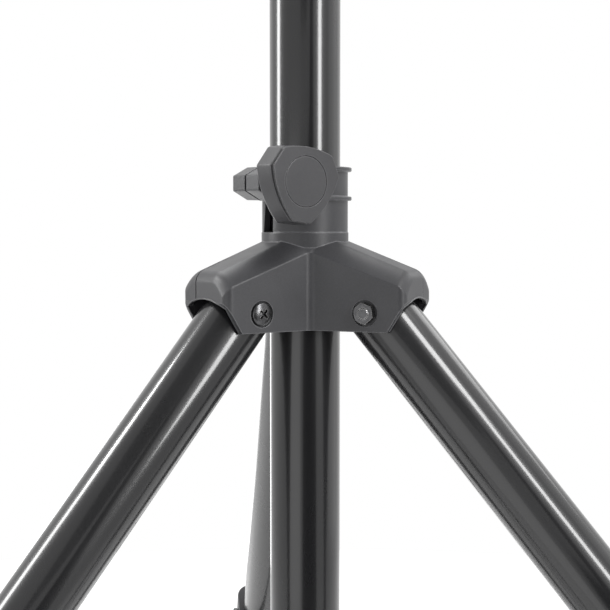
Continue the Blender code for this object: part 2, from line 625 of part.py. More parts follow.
# ---- assembly -----------------------------------------------------------------------------
def build():
    clear_scene()
    mats = {
        "tube": material("tube_black", (0.012, 0.012, 0.013), 0.22, 0.1),
        "housing": material("housing_plastic", (0.075, 0.075, 0.08), 0.55),
        "knob": material("knob_plastic", (0.10, 0.10, 0.105), 0.5),
        "bush": material("bush_plastic", (0.03, 0.03, 0.032), 0.6),
        "steel": material("screw_steel", (0.16, 0.16, 0.165), 0.3, 0.9),
        "rubber": material("rubber", (0.02, 0.02, 0.02), 0.85),
    }
    centre = Vector((0, AXIS_Y, 0))
    column = empty("pivot_column", centre)
    hub = empty("pivot_hub", centre + UP * PIVOT_Z)
    pole_slide = empty("pivot_pole", centre + UP * TUBE_TOP)
    at_clamp = radial(CLAMP_AZIMUTH) * CLAMP_R
    hub_knob = empty("pivot_hub_knob", centre + at_clamp + UP * (PIVOT_Z + CLAMP_HEIGHT))
    upper_knob = empty("pivot_upper_knob", centre + at_clamp + UP * (TUBE_TOP + UPPER_TOP - RIB_HALF))

    main_column(mats, column)
    upper_clamp(mats, column, upper_knob)
    pole(mats, pole_slide)
    leg_housing(mats["housing"], hub)
    clamp_hardware("hub", PIVOT_Z + CLAMP_HEIGHT, hub, hub_knob, mats)
    for index, azimuth in enumerate(LEG_AZIMUTHS, 1):
        reach = centre + radial(azimuth) * PIVOT_R
        leg_pivot = empty(f"pivot_leg_{index}", reach + UP * PIVOT_Z)
        brace_pivot = empty(f"pivot_brace_{index}", reach + UP * COLLAR_Z)
        leg(index, azimuth, mats, hub, leg_pivot)
        brace(index, azimuth, mats, brace_pivot)


build()
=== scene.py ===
"""Looks of the speaker tripod stand: finely turned tubes, moulded leg hub and collars, three-lobed
knobs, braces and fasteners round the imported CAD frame, in a pale studio."""

import json
from math import asin, atan2, cos, pi, radians, sin, sqrt, tan

import bmesh
import bpy
from mathutils import Matrix, Vector


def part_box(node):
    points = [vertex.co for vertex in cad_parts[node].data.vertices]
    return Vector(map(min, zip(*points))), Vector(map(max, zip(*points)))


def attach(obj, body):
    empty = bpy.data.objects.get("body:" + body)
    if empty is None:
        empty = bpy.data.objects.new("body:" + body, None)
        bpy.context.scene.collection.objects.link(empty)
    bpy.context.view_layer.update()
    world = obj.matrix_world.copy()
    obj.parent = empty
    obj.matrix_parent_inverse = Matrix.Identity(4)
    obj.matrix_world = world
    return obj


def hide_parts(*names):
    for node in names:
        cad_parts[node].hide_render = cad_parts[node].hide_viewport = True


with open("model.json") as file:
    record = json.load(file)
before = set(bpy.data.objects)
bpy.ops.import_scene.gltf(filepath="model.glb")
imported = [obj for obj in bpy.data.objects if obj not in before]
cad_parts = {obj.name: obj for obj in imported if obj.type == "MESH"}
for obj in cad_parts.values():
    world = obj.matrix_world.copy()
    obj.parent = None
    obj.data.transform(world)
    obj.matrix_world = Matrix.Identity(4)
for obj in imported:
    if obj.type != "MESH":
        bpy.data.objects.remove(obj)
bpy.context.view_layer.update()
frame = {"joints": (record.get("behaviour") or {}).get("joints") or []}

MM = 0.001
UP = Vector((0, 0, 1))

# ---- places taken from the frame ----------------------------------------------------------
JOINTS = {joint["name"]: joint for joint in frame["joints"]}
TUBE_LOW, TUBE_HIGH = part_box("main_tube")
POLE_LOW, POLE_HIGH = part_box("pole")
AXIS_Y = (TUBE_LOW.y + TUBE_HIGH.y) / 2
AXIS = Matrix.Translation((0, AXIS_Y, 0))
HUB_PIVOT = Vector(JOINTS["hub_glide"]["pos_m"])
KNEE = Vector(JOINTS["leg_1_fold"]["pos_m"])
COLLAR_PIVOT = Vector(JOINTS["fold"]["pos_m"])
PIVOT_Z = HUB_PIVOT.z
COLLAR_Z = COLLAR_PIVOT.z
PIVOT_R = (HUB_PIVOT - Vector((0, AXIS_Y, PIVOT_Z))).length
LINK = (KNEE - HUB_PIVOT).length
LEG_ANGLE = (KNEE - HUB_PIVOT).angle(-UP)
LEG_AZIMUTHS = (radians(-150), radians(-30), radians(90))
CLAMP_AZIMUTH = LEG_AZIMUTHS[0]
CLAMP_Z = JOINTS["hub_knob_turn"]["pos_m"][2]
UPPER_CLAMP_Z = JOINTS["upper_knob_turn"]["pos_m"][2]

# ---- sizes --------------------------------------------------------------------------------
GAP = 0.35 * MM                  # between pieces that fit together
HOLE_REACH = 30 * MM             # half length of a cross hole's cutter
TUBE_R = TUBE_HIGH.x
TUBE_WALL = 1.2 * MM
TUBE_TOP = TUBE_HIGH.z
POLE_R = POLE_HIGH.x
POLE_WALL = 1.2 * MM
LEG_R = 17.75 * MM
LEG_WALL = 1.2 * MM
LEG_LENGTH = PIVOT_Z / cos(LEG_ANGLE)        # from the pivot to the floor
LEG_HEAD = 8 * MM                # tube above the pivot
LEG_END = (PIVOT_Z - 6 * MM - LEG_R * sin(LEG_ANGLE)) / cos(LEG_ANGLE)

# leg housing, heights from the leg pivots
ARM_HALF = 21.4 * MM
ARM_END = 65.0 * MM
ARM_START = 5 * MM
ARM_WALL = 2.8 * MM
ARM_BOTTOM = -9.8 * MM
ARM_CREASE = 8.5 * MM
ARM_TOP = (22.6 * MM, 36.8 * MM, -0.381)     # radius, height there, slope
ARM_EDGE = (12.35 * MM, 31.7 * MM, -0.3545)
ARM_NOSE = 4.6 * MM              # between the end face and the top and sides
EDGE_ROUND = 0.9 * MM            # along the top of the side walls
VALLEY_ROUND = 5 * MM            # between neighbouring arms
FLARE_START = (ARM_HALF + VALLEY_ROUND) / sqrt(3)
SHOULDER_BULGE = 1.3 * MM
UNDERCUT = 4 * MM                # stock below the arms, cut off level at the end
BEYOND = 80 * MM                 # radius past the arms' ends
MOUTH_TOP = 7.8 * MM
MOUTH_R = 40.0 * MM
MOUTH_HALF = ARM_HALF - ARM_WALL - 0.1 * MM
MOUTH_SIDE = 6.0 * MM
SLANT_FOOT = 55.2 * MM
LIP = 0.5 * MM                   # bead round the mouth
SEAM_HALF = 0.5 * MM             # half width of the parting seams
SEAM_DEPTH = 1.3 * MM
SEAM_START = 44 * MM
SEAM_OUT = 7.4 * MM              # just inside the creases
BORE_R = TUBE_R + 0.4 * MM
BOSS_R = 22.3 * MM
RING_R = 23.55 * MM
RING_TOP = 41.9 * MM
COLLAR_R = 23.2 * MM
RIB_R = 25.2 * MM
RIB_HEIGHT = 2.2 * MM
RIB_HALF = 8.9 * MM

# clamp
CLAMP_R = 28.8 * MM
EAR_HALF = 8.75 * MM
EAR_TIP_HALF = 4.05 * MM
EAR_SHOULDER_R = 29.8 * MM
EAR_TIP_R = 38.8 * MM
EAR_GAP = 0.8 * MM
EAR_OUT = 12.2 * MM
WINDOW = (2.7 * MM, -4.9 * MM, -7.6 * MM)    # near side, far side at the top and at the floor
CLAMP_BOLT_R = 3.8 * MM
KNOB_NECK_R = 8.8 * MM
KNOB_BACK = 24.9 * MM
KNOB_FACE = 40.2 * MM
KNOB_R = 21.7 * MM
KNOB_CORNER = radians(15)
KNOB_BULGE = 2.5 * MM
KNOB_ROLL = radians(23)
KNOB_CAP_R = 12.8 * MM

# upper collar, heights from the main tube's top
UPPER_LOW = -36 * MM
UPPER_STEP = -6 * MM
UPPER_RING_R = 24.6 * MM
UPPER_TOP = 34 * MM

# fasteners, braces, lower collar, feet
PIVOT_BOLT_R = 3.0 * MM
BRACE_BOLT_R = 2.9 * MM
PIN_R = 2.4 * MM
HEAD_HEIGHT = 3.0 * MM
SEAT_R = 6.9 * MM                # recess round a pivot screw's head and nut
SEAT_DEPTH = 1.4 * MM
BAR_IN = ARM_HALF + 0.4 * MM
BAR_THICK = 3 * MM
BAR_HALF = 8 * MM
SLOT_HALF = 18.4 * MM
LOWER_R = 24.0 * MM
LOWER_END = 53.0 * MM
LOWER_HALF = 10 * MM
LOWER_SLEEVE = 20 * MM
FOOT_R = 21.5 * MM
FOOT_LENGTH = 52 * MM

# facets
ROUND = 144
SMALL = 64


# ---- outlines -----------------------------------------------------------------------------
def arc(centre, radius, start, end, count):
    return [(centre[0] + radius * cos(start + (end - start) * i / count),
             centre[1] + radius * sin(start + (end - start) * i / count))
            for i in range(count + 1)]


def polygon(radius, count):
    return [(radius * cos(2 * pi * i / count), radius * sin(2 * pi * i / count)) for i in range(count)]


def filleted(corners, steps=4):
    """Closed outline of (x, y, radius) corners, with an arc at each corner that has a radius."""
    points = []
    for i, (x, y, radius) in enumerate(corners):
        here = Vector((x, y))
        if radius <= 0:
            points.append((x, y))
            continue
        back = (Vector(corners[i - 1][:2]) - here).normalized()
        ahead = (Vector(corners[(i + 1) % len(corners)][:2]) - here).normalized()
        half = back.angle(ahead) / 2
        centre = here + (back + ahead).normalized() * radius / sin(half)
        reach = radius / tan(half)
        first, last = here + back * reach - centre, here + ahead * reach - centre
        start = atan2(first.y, first.x)
        sweep = (atan2(last.y, last.x) - start + pi) % (2 * pi) - pi
        points += arc(centre, radius, start, start + sweep, steps)
    return points


def inset(outline, distance):
    """Closed anticlockwise outline moved inwards."""
    moved = []
    for i, (x, y) in enumerate(outline):
        before = Vector(outline[i - 1])
        after = Vector(outline[(i + 1) % len(outline)])
        here = Vector((x, y))
        first, second = (here - before).normalized(), (after - here).normalized()
        inwards = Vector((-first.y - second.y, first.x + second.x)).normalized()
        stretch = max(0.5, inwards.dot(Vector((-first.y, first.x))))
        moved.append(tuple(here + inwards * distance / stretch))
    return moved


# ---- solids -------------------------------------------------------------------------------
def turned(profile, segments=ROUND):
    """Solid turned about Z from a closed loop of (radius, height); radius 0 is on the axis."""
    bm = bmesh.new()
    angles = [2 * pi * i / segments for i in range(segments)]
    rings = []
    for radius, height in profile:
        if radius < 1e-9:
            rings.append([bm.verts.new((0, 0, height))])
        else:
            rings.append([bm.verts.new((radius * cos(a), radius * sin(a), height)) for a in angles])
    for ring, following in zip(rings, rings[1:] + rings[:1]):
        if len(ring) == len(following) == 1:
            continue
        for i in range(segments):
            j = (i + 1) % segments
            corners = (ring[i % len(ring)], ring[j % len(ring)],
                       following[j % len(following)], following[i % len(following)])
            bm.faces.new(dict.fromkeys(corners))
    bmesh.ops.recalc_face_normals(bm, faces=bm.faces)
    return bm


def rod(radius, low, high, segments=SMALL):
    return turned([(0, low), (radius, low), (radius, high), (0, high)], segments)


def cross_hole(radius):
    """Cutter along Z for the clearance hole round a pin of this radius."""
    return rod(radius + GAP, -HOLE_REACH, HOLE_REACH)


def loft(rings, closed=False):
    """Solid through equal-length rings of points, with flat ends unless it closes on itself."""
    bm = bmesh.new()
    rows = [[bm.verts.new(point) for point in ring] for ring in rings]
    following = rows[1:] + rows[:1] if closed else rows[1:]
    for row, after in zip(rows, following):
        for i in range(len(row)):
            j = (i + 1) % len(row)
            bm.faces.new((row[i], row[j], after[j], after[i]))
    if not closed:
        bm.faces.new(rows[0])
        bm.faces.new(rows[-1])
    bmesh.ops.recalc_face_normals(bm, faces=bm.faces)
    return bm


def slab(outline, low, high, edge=0.0):
    """Outline extruded along Z, with rounded rims."""
    if edge <= 0:
        return loft([[(x, y, z) for x, y in outline] for z in (low, high)])
    steps = 3
    levels = []
    for i in range(steps + 1):
        angle = radians(90) * i / steps
        levels.append((low + edge * (1 - cos(angle)), edge * (1 - sin(angle))))
    levels += [(low + high - z, distance) for z, distance in reversed(levels)]
    return loft([[(x, y, z) for x, y in inset(outline, distance)] for z, distance in levels])


def block(low, high):
    outline = [(low[0], low[1]), (high[0], low[1]), (high[0], high[1]), (low[0], high[1])]
    return slab(outline, low[2], high[2])


def placed(bm, matrix):
    bm.transform(matrix)
    return bm


def bead(path, radius):
    """Round bead along a path of points."""
    sides = 8
    rings = []
    for i, point in enumerate(path):
        here = Vector(point)
        ahead = Vector(path[min(i + 1, len(path) - 1)]) - Vector(path[max(i - 1, 0)])
        ahead.normalize()
        side = ahead.cross(Vector((1, 0, 0))).normalized()
        lift = side.cross(ahead)
        rings.append([tuple(here + (side * cos(a) + lift * sin(a)) * radius)
                      for a in [2 * pi * k / sides for k in range(sides)]])
    return loft(rings)


def carved(base, steps):
    """The solid after (operation, solid) steps in the same axes, applied in order."""
    made = []

    def temporary(bm):
        mesh = bpy.data.meshes.new("carving")
        bm.to_mesh(mesh)
        bm.free()
        made.append(bpy.data.objects.new("carving", mesh))
        bpy.context.scene.collection.objects.link(made[-1])
        return made[-1]

    target = temporary(base)
    for operation, bm in steps:
        boolean = target.modifiers.new("carving", "BOOLEAN")
        boolean.object = temporary(bm)
        boolean.operation = operation
        boolean.solver = "MANIFOLD"
    graph = bpy.context.evaluated_depsgraph_get()
    result = bmesh.new()
    result.from_mesh(target.evaluated_get(graph).data)
    for obj in made:
        mesh = obj.data
        bpy.data.objects.remove(obj)
        bpy.data.meshes.remove(mesh)
    return result


def piece(name, bm, look, body, nodes, matrix=Matrix(), sharp=30):
    """Object of the finished solid, riding on its body in place of the CAD nodes."""
    bm.transform(matrix)
    mesh = bpy.data.meshes.new(name)
    bm.to_mesh(mesh)
    bm.free()
    mesh.shade_smooth()
    mesh.set_sharp_from_angle(angle=radians(sharp))
    obj = bpy.data.objects.new(name, mesh)
    bpy.context.scene.collection.objects.link(obj)
    weighted = obj.modifiers.new("weighted_normals", "WEIGHTED_NORMAL")
    weighted.keep_sharp = True
    weighted.weight = 70
    material, slot = look
    mesh.materials.append(material)
    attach(obj, body)
    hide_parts(*nodes)


# ---- local frames -------------------------------------------------------------------------
def columns(x, y, z, origin):
    """Matrix whose local X, Y and Z run along the given world vectors."""
    return Matrix.Translation(origin) @ Matrix((x, y, z)).transposed().to_4x4()


def radial(azimuth):
    return Vector((cos(azimuth), sin(azimuth), 0))


def tangent(azimuth):
    return Vector((-sin(azimuth), cos(azimuth), 0))


def arm_frame(azimuth, height):
    """X outwards, Y tangential, Z up, on the tube axis."""
    return columns(radial(azimuth), tangent(azimuth), UP, Vector((0, AXIS_Y, height)))


def side_frame(azimuth, radius, height):
    """X outwards, Y up, Z along the reverse tangent."""
    origin = Vector((0, AXIS_Y, height)) + radial(azimuth) * radius
    return columns(radial(azimuth), UP, -tangent(azimuth), origin)


def leg_frame(azimuth):
    """Z down the leg from its pivot, Y tangential, X outwards and up."""
    down = radial(azimuth) * sin(LEG_ANGLE) - UP * cos(LEG_ANGLE)
    out = radial(azimuth) * cos(LEG_ANGLE) + UP * sin(LEG_ANGLE)
    origin = Vector((0, AXIS_Y, PIVOT_Z)) + radial(azimuth) * PIVOT_R
    return columns(out, -tangent(azimuth), down, origin)


def across(distance):
    """From a leg frame: Z along the tangent, at a distance down the leg."""
    return Matrix.Translation((0, 0, distance)) @ Matrix.Rotation(radians(90), 4, "X")


FLIP = Matrix.Rotation(pi, 4, "Y")


# ---- materials ----------------------------------------------------------------------------
class Nodes:
    """A material's node tree, with short calls for the nodes that the looks share."""

    def __init__(self, name):
        self.material = bpy.data.materials.new(name)
        self.material.use_nodes = True
        self.tree = self.material.node_tree
        self.shader = self.tree.nodes["Principled BSDF"]
        self.position = self.tree.nodes.new("ShaderNodeTexCoord").outputs["Object"]

    def link(self, output, target):
        self.tree.links.new(output, target)

    def noise(self, scale, detail=3.0, roughness=0.55, stretch=(1, 1, 1)):
        mapping = self.tree.nodes.new("ShaderNodeMapping")
        mapping.inputs["Scale"].default_value = stretch
        self.link(self.position, mapping.inputs["Vector"])
        node = self.tree.nodes.new("ShaderNodeTexNoise")
        node.inputs["Scale"].default_value = scale
        node.inputs["Detail"].default_value = detail
        node.inputs["Roughness"].default_value = roughness
        self.link(mapping.outputs["Vector"], node.inputs["Vector"])
        return node.outputs["Fac"]

    def ramp(self, value, stops):
        """Value through a colour ramp of (place, colour) stops; a number is a grey."""
        node = self.tree.nodes.new("ShaderNodeValToRGB")
        elements = node.color_ramp.elements
        while len(elements) < len(stops):
            elements.new(0.5)
        for element, (place, colour) in zip(elements, stops):
            element.position = place
            grey = colour if isinstance(colour, tuple) else (colour, colour, colour)
            element.color = (*grey, 1)
        self.link(value, node.inputs["Fac"])
        return node.outputs["Color"]

    def bump(self, height, strength, distance, below=None):
        node = self.tree.nodes.new("ShaderNodeBump")
        node.inputs["Strength"].default_value = strength
        node.inputs["Distance"].default_value = distance
        self.link(height, node.inputs["Height"])
        if below:
            self.link(below, node.inputs["Normal"])
        return node.outputs["Normal"]

    def rounded(self, radius):
        """Normal that turns smoothly over the edges, as if they were rounded."""
        node = self.tree.nodes.new("ShaderNodeBevel")
        node.samples = 4
        node.inputs["Radius"].default_value = radius
        return node.outputs["Normal"]

    def edges(self, rounded):
        """1 on edges, 0 on flat faces, from how far the rounded normal leans; the looks paint these edges
        lighter, as wear and on the mouldings also as a painted highlight.
        """
        geometry = self.tree.nodes.new("ShaderNodeNewGeometry")
        dot = self.tree.nodes.new("ShaderNodeVectorMath")
        dot.operation = "DOT_PRODUCT"
        self.link(rounded, dot.inputs[0])
        self.link(geometry.outputs["Normal"], dot.inputs[1])
        return self.ramp(dot.outputs["Value"], [(0.9, 1.0), (0.992, 0.0)])

    def mixed(self, factor, first, second):
        """First where the factor is 0, second where it is 1; each is a colour or a socket."""
        node = self.tree.nodes.new("ShaderNodeMix")
        node.data_type = "RGBA"
        self.link(factor, node.inputs["Factor"])
        for socket, value in ((node.inputs[6], first), (node.inputs[7], second)):
            if isinstance(value, tuple):
                socket.default_value = (*value, 1)
            else:
                self.link(value, socket)
        return node.outputs[2]

    def set(self, **values):
        for name, value in values.items():
            self.shader.inputs[name.replace("_", " ")].default_value = value


def lacquer():
    """Black gloss paint on steel tube: fine orange peel, faint draw lines and rubbed patches."""
    nodes = Nodes("black_lacquer")
    mottle = nodes.noise(9.0, 4)
    nodes.link(nodes.ramp(mottle, [(0.3, (0.0035, 0.0035, 0.004)), (0.75, (0.006, 0.006, 0.0066))]),
               nodes.shader.inputs["Base Color"])
    rub = nodes.noise(26.0, 5, 0.62, (1, 1, 0.25))
    nodes.link(nodes.ramp(rub, [(0.3, 0.25), (0.72, 0.31)]), nodes.shader.inputs["Roughness"])
    peel = nodes.bump(nodes.noise(420.0, 2), 0.05, 0.15 * MM)
    draw = nodes.bump(nodes.noise(900.0, 2, 0.5, (1, 1, 0.02)), 0.03, 0.1 * MM, peel)
    nodes.link(draw, nodes.shader.inputs["Normal"])
    nodes.set(IOR=1.5, Specular_IOR_Level=0.25, Metallic=0.0, Coat_Weight=0.62, Coat_Roughness=0.12)
    return nodes.material


def moulded(name, dark, light, wear_and_highlight, roughness, grain=1.0, rubbed=0.8 * MM):
    """Fine-grained moulding: spark texture, mottled tone, and edges painted lighter, partly as wear and
    partly as a painted highlight.
    """
    nodes = Nodes(name)
    tone = nodes.ramp(nodes.noise(38.0, 5, 0.6), [(0.3, dark), (0.7, light)])
    speck = nodes.ramp(nodes.noise(1900.0, 2, 0.7), [(0.42, 0.0), (0.78, 0.55)])
    tone = nodes.mixed(speck, tone, tuple(min(1.0, channel * 1.7) for channel in light))
    rounded = nodes.rounded(rubbed)
    # edges painted lighter with the edge colour: partly wear, partly a painted highlight along the rims, in
    # a band as wide as rubbed
    nodes.link(nodes.mixed(nodes.edges(rounded), tone, wear_and_highlight), nodes.shader.inputs["Base Color"])
    low, high = roughness
    nodes.link(nodes.ramp(nodes.noise(55.0, 4, 0.6), [(0.3, low), (0.7, high)]),
               nodes.shader.inputs["Roughness"])
    coarse = nodes.bump(nodes.noise(1500.0, 3, 0.6), 0.16 * grain, 0.12 * MM, rounded)
    fine = nodes.bump(nodes.noise(4200.0, 2, 0.5), 0.10 * grain, 0.05 * MM, coarse)
    nodes.link(fine, nodes.shader.inputs["Normal"])
    nodes.set(IOR=1.48, Specular_IOR_Level=0.32, Metallic=0.0)
    return nodes.material


def dark_steel():
    """Black-zinc screw steel, faintly uneven, with brighter rubbed corners."""
    nodes = Nodes("dark_steel")
    tone = nodes.ramp(nodes.noise(300.0, 4, 0.6),
                      [(0.3, (0.045, 0.045, 0.047)), (0.7, (0.08, 0.08, 0.082))])
    nodes.link(nodes.mixed(nodes.edges(nodes.rounded(0.35 * MM)), tone, (0.3, 0.295, 0.29)),
               nodes.shader.inputs["Base Color"])
    nodes.link(nodes.ramp(nodes.noise(800.0, 3), [(0.3, 0.2), (0.75, 0.36)]),
               nodes.shader.inputs["Roughness"])
    nodes.link(nodes.bump(nodes.noise(1200.0, 2), 0.05, 0.05 * MM), nodes.shader.inputs["Normal"])
    nodes.set(Metallic=0.9)
    return nodes.material


def rubber():
    """Matt black rubber, dusty in its pores."""
    nodes = Nodes("foot_rubber")
    tone = nodes.ramp(nodes.noise(60.0, 5, 0.65),
                      [(0.3, (0.010, 0.010, 0.010)), (0.75, (0.022, 0.021, 0.02))])
    nodes.link(nodes.mixed(nodes.edges(nodes.rounded(0.8 * MM)), tone, (0.045, 0.043, 0.04)),
               nodes.shader.inputs["Base Color"])
    nodes.link(nodes.ramp(nodes.noise(120.0, 4), [(0.3, 0.62), (0.7, 0.82)]),
               nodes.shader.inputs["Roughness"])
    nodes.link(nodes.bump(nodes.noise(900.0, 4, 0.6), 0.3, 0.2 * MM), nodes.shader.inputs["Normal"])
    nodes.set(IOR=1.45, Specular_IOR_Level=0.4)
    return nodes.material


def pale_floor():
    nodes = Nodes("pale_floor")
    nodes.link(nodes.ramp(nodes.noise(3.0, 3), [(0.3, 0.78), (0.7, 0.82)]),
               nodes.shader.inputs["Base Color"])
    nodes.set(Roughness=0.85, Specular_IOR_Level=0.2)
    return nodes.material


TUBE_LOOK = (lacquer(), "black_tube")
# each moulding's third colour paints its edges lighter: partly wear, partly a painted highlight
HOUSING_LOOK = (moulded("housing_moulding", (0.0205, 0.0205, 0.0222), (0.0255, 0.0255, 0.0275),
                        (0.125, 0.125, 0.13), (0.36, 0.44)), "moulded_housing")
KNOB_LOOK = (moulded("knob_moulding", (0.020, 0.020, 0.0215), (0.026, 0.0257, 0.0275),
                     (0.115, 0.114, 0.118), (0.35, 0.42), 1.4, 0.6 * MM), "knob_plastic")
BUSH_LOOK = (moulded("bush_moulding", (0.012, 0.012, 0.013), (0.018, 0.018, 0.019),
                     (0.05, 0.05, 0.052), (0.42, 0.52), 0.6), "bush_plastic")
STEEL_LOOK = (dark_steel(), "dark_steel")
RUBBER_LOOK = (rubber(), "foot_rubber")


# ---- leg housing --------------------------------------------------------------------------
def on_line(line, radius):
    """Height of a sloping line at a radius."""
    start, height, slope = line
    return height + slope * (radius - start)


def half_width(radius):
    """Half width of an arm, flared into its neighbour near the axis."""
    run = min(max(0.0, FLARE_START - radius), VALLEY_ROUND / 2)
    return ARM_HALF + VALLEY_ROUND - sqrt(VALLEY_ROUND ** 2 - run ** 2)


def arm_section(radius, narrowing=0.0, drop=0.0, edge_round=EDGE_ROUND):
    """Arm section at a radius: side walls, bulged shoulders and a flat top strip."""
    half = half_width(radius) - narrowing - drop
    edge = on_line(ARM_EDGE, radius) - narrowing - drop
    crest = on_line(ARM_TOP, radius) - narrowing - drop
    steps = 8
    right = [(half, ARM_BOTTOM - UNDERCUT, 0.0), (half, edge, edge_round)]
    for i in range(1, steps + 1):
        t = i / steps
        y = half + (ARM_CREASE - half) * t
        z = edge + (crest - edge) * t + SHOULDER_BULGE * 4 * t * (1 - t)
        right.append((y, z, 0.0))
    outline = filleted(right + [(-y, z, r) for y, z, r in reversed(right)])
    return [(radius, y, z) for y, z in outline]


def arm_solid():
    """Arm from near the axis, with the flare into its neighbours and the rounded nose."""
    sections = [arm_section(ARM_START)]
    sections += [arm_section(FLARE_START - VALLEY_ROUND / 2 * (1 - i / 6)) for i in range(7)]
    sections += [arm_section(radius * MM) for radius in (24, 36, 48)]
    steps = 9
    for i in range(steps + 1):
        angle = radians(90) * i / steps
        sections.append(arm_section(ARM_END - ARM_NOSE * (1 - sin(angle)),
                                    drop=ARM_NOSE * (1 - cos(angle))))
    return loft(sections)


def arm_cavity():
    """Hollow of an arm, a wall inside its outer faces."""
    far = ARM_END - ARM_WALL
    nose = 3 * MM
    return loft([arm_section(x, ARM_WALL, drop, 0.6 * MM)
                 for x, drop in ((ARM_START, 0), (far - nose, 0), (far, nose))])


def mouth_arch(half, steps):
    """Arch of the mouth's top in (tangential, height)."""
    spread = asin(half / MOUTH_R)
    return arc((0, MOUTH_TOP - MOUTH_R), MOUTH_R, pi / 2 - spread, pi / 2 + spread, steps)


def mouth_cutter():
    """Arched opening in the end face, where the leg comes out."""
    low, start = -20 * MM, 50 * MM
    outline = [(MOUTH_HALF, low)] + mouth_arch(MOUTH_HALF, 28) + [(-MOUTH_HALF, low)]
    return loft([[(x, y, z) for y, z in outline] for x in (start, BEYOND)])


def slant_radius(height):
    """Radius of the slanted end of a side wall at a height."""
    return SLANT_FOOT + (ARM_END - SLANT_FOOT) * (height - ARM_BOTTOM) / (MOUTH_SIDE - ARM_BOTTOM)


def slant_cutter():
    """Wedge that slants the ends of both side walls."""
    low, side = ARM_BOTTOM - 5 * MM, 30 * MM
    outline = [(ARM_END, MOUTH_SIDE), (BEYOND, MOUTH_SIDE), (BEYOND, low), (slant_radius(low), low)]
    return loft([[(x, y, z) for x, z in outline] for y in (-side, side)])


def end_radius(y, z):
    """Radius of the arm's end at a tangential place and height."""
    run = max(0.0, abs(y) - (ARM_HALF - ARM_NOSE))
    face = ARM_END - ARM_NOSE + sqrt(ARM_NOSE ** 2 - run ** 2)
    return min(face, slant_radius(z)) if z < MOUTH_SIDE else face


def mouth_bead():
    """Bead up one slanted wall end, over the arch and down the other."""
    side = MOUTH_HALF + 0.1 * MM
    arch = mouth_arch(side, 36)
    up = [(slant_radius(z), side, z) for z in
          [ARM_BOTTOM + LIP + (arch[0][1] - ARM_BOTTOM - LIP) * i / 8 for i in range(8)]]
    over = [(end_radius(y, z) - 0.3 * LIP, y, z) for y, z in arch]
    return bead(up + over + [(x, -y, z) for x, y, z in reversed(up)], LIP)


def seam_cutter(side):
    """Fine groove beside a crease, over the nose and down the end face, fading up the arm."""
    clear = 2 * MM
    surface = [(SEAM_START + (ARM_END - ARM_NOSE - SEAM_START) * i / 6, 0.0) for i in range(6)]
    surface += [(ARM_END - ARM_NOSE * (1 - sin(a)), ARM_NOSE * (1 - cos(a)))
                for a in [radians(90) * i / 9 for i in range(10)]]
    surface = [(x, on_line(ARM_TOP, x) - drop) for x, drop in surface]
    surface.append((ARM_END, MOUTH_TOP - 4 * MM))
    inner, outer = [], []
    for i, (x, z) in enumerate(surface):
        before, after = Vector(surface[max(i - 1, 0)]), Vector(surface[min(i + 1, len(surface) - 1)])
        along = (after - before).normalized()
        depth = SEAM_DEPTH * min(1, i / 5)
        inner.append((x + along.y * depth, z - along.x * depth))
        outer.append((x - along.y * clear, z + along.x * clear))
    ring = inner + outer[::-1]
    y = side * SEAM_OUT
    return loft([[(x, y + offset, z) for x, z in ring] for offset in (-SEAM_HALF, SEAM_HALF)])


def ear_block(height):
    """Both clamp ears as one half-hexagonal block, before the bore and the slit part them."""
    root = 16 * MM
    edge = 0.9 * MM
    outline = filleted([(root, -EAR_HALF, 0), (EAR_SHOULDER_R, -EAR_HALF, edge),
                        (EAR_TIP_R, -EAR_TIP_HALF, edge), (EAR_TIP_R, EAR_TIP_HALF, edge),
                        (EAR_SHOULDER_R, EAR_HALF, edge), (root, EAR_HALF, 0)])
    return placed(slab(outline, -EAR_OUT, EAR_OUT, 0.7 * MM), side_frame(CLAMP_AZIMUTH, 0, height))


def clamp_cuts(height, floor):
    """Slit between the ears, its wider window down to floor, and the bolt hole."""
    axes = arm_frame(CLAMP_AZIMUTH, height)
    under = -RIB_HALF - 0.5 * MM
    slit = block((12 * MM, -EAR_GAP, under - MM), (45 * MM, EAR_GAP, 20 * MM))
    near, far_top, far_low = WINDOW
    outline = [(near, floor), (near, under), (far_top, under), (far_low, floor)]
    window = loft([[(x, y, z) for y, z in outline] for x in (13 * MM, 30 * MM)])
    hole = rod(CLAMP_BOLT_R + GAP, -20 * MM, 20 * MM)
    return [("DIFFERENCE", placed(slit, axes)), ("DIFFERENCE", placed(window, axes)),
            ("DIFFERENCE", placed(hole, side_frame(CLAMP_AZIMUTH, CLAMP_R, height)))]


def collar_profile(low, step, top, ring_r):
    """Outer profile of a clamp collar with a base ring and two thin ribs."""
    soft, tight = 0.55 * MM, 0.3 * MM
    rib = top - 2 * RIB_HALF
    corners = [(0, low, 0), (ring_r, low, soft), (ring_r, step, soft), (COLLAR_R, step, tight / 2)]
    for base in (rib, top - RIB_HEIGHT):
        corners += [(COLLAR_R, base, tight), (RIB_R, base, soft), (RIB_R, base + RIB_HEIGHT, soft)]
        corners.append((COLLAR_R, base + RIB_HEIGHT, tight))
    corners = corners[:-1] + [(0, top, 0)]
    return filleted(corners)


